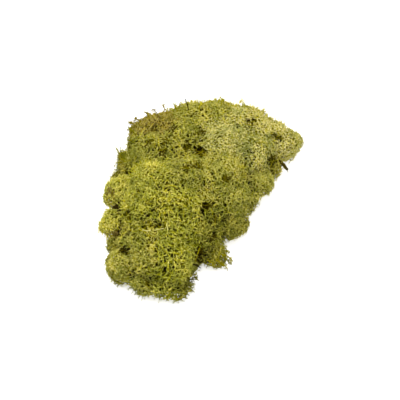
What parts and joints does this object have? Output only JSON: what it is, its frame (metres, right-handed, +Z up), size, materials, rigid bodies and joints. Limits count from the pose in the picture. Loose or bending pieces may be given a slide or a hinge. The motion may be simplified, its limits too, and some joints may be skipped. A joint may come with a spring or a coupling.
{
  "type": "reindeer moss clump",
  "caption": "Low cushion of reindeer moss: rounded heads of fine forked sprigs packed on a mat of old stems, resting on a small flat spot.",
  "frame": {"origin": "middle of the bounding box's underside, on the surface that the clump rests on", "axes": "+Z up, +X to the right and +Y away from the viewer in the picture"},
  "size_m": [0.2224, 0.2434, 0.0725],
  "materials": {
    "lichen_yellow": "matt, dry, fine-branched preserved lichen, yellow-green",
    "lichen_olive": "matt, dry, fine-branched preserved lichen, olive green",
    "lichen_pale": "matt, dry, fine-branched preserved lichen, pale grey-green",
    "lichen_dark": "matt, dry, fine-branched preserved lichen, dark olive",
    "lichen_brown": "matt, dry, fine-branched preserved lichen, brownish olive",
    "old_stems": "matt, dry, dead brown stem bases"
  },
  "bodies": {
    "root": {"old_stem_mat": "old_stems", "head_left_1": "lichen_yellow", "head_left_2": "lichen_yellow", "head_left_3": "lichen_dark", "head_left_4": "lichen_olive", "head_left_5": "lichen_dark", "head_front_1": "lichen_olive", "head_front_2": "lichen_yellow", "head_front_3": "lichen_dark", "head_front_4": "lichen_olive", "head_right_1": "lichen_dark", "head_right_2": "lichen_dark", "head_right_3": "lichen_olive", "head_right_4": "lichen_olive", "head_right_5": "lichen_dark", "head_right_6": "lichen_pale", "head_top_1": "lichen_pale", "head_top_2": "lichen_pale", "head_top_3": "lichen_olive", "head_top_4": "lichen_olive", "head_top_5": "lichen_brown", "head_top_6": "lichen_brown", "head_shoulder_1": "lichen_olive", "head_shoulder_2": "lichen_dark", "head_crown_1": "lichen_olive", "head_crown_2": "lichen_olive", "head_crown_3": "lichen_pale", "head_crown_4": "lichen_pale", "head_crown_5": "lichen_yellow", "head_crown_6": "lichen_olive", "head_crown_7": "lichen_olive", "head_crown_8": "lichen_yellow", "head_crown_9": "lichen_yellow", "head_crown_10": "lichen_olive", "head_crown_11": "lichen_olive", "head_crown_12": "lichen_olive", "head_crown_13": "lichen_yellow", "head_crown_14": "lichen_dark", "head_crown_15": "lichen_olive", "head_crown_16": "lichen_yellow", "head_crown_17": "lichen_dark", "head_crown_18": "lichen_olive", "head_crown_19": "lichen_olive", "head_crown_20": "lichen_brown", "head_back_1": "lichen_brown", "head_back_2": "lichen_olive", "head_back_3": "lichen_olive", "head_back_4": "lichen_olive", "head_back_5": "lichen_pale"}
  },
  "joints": []
}
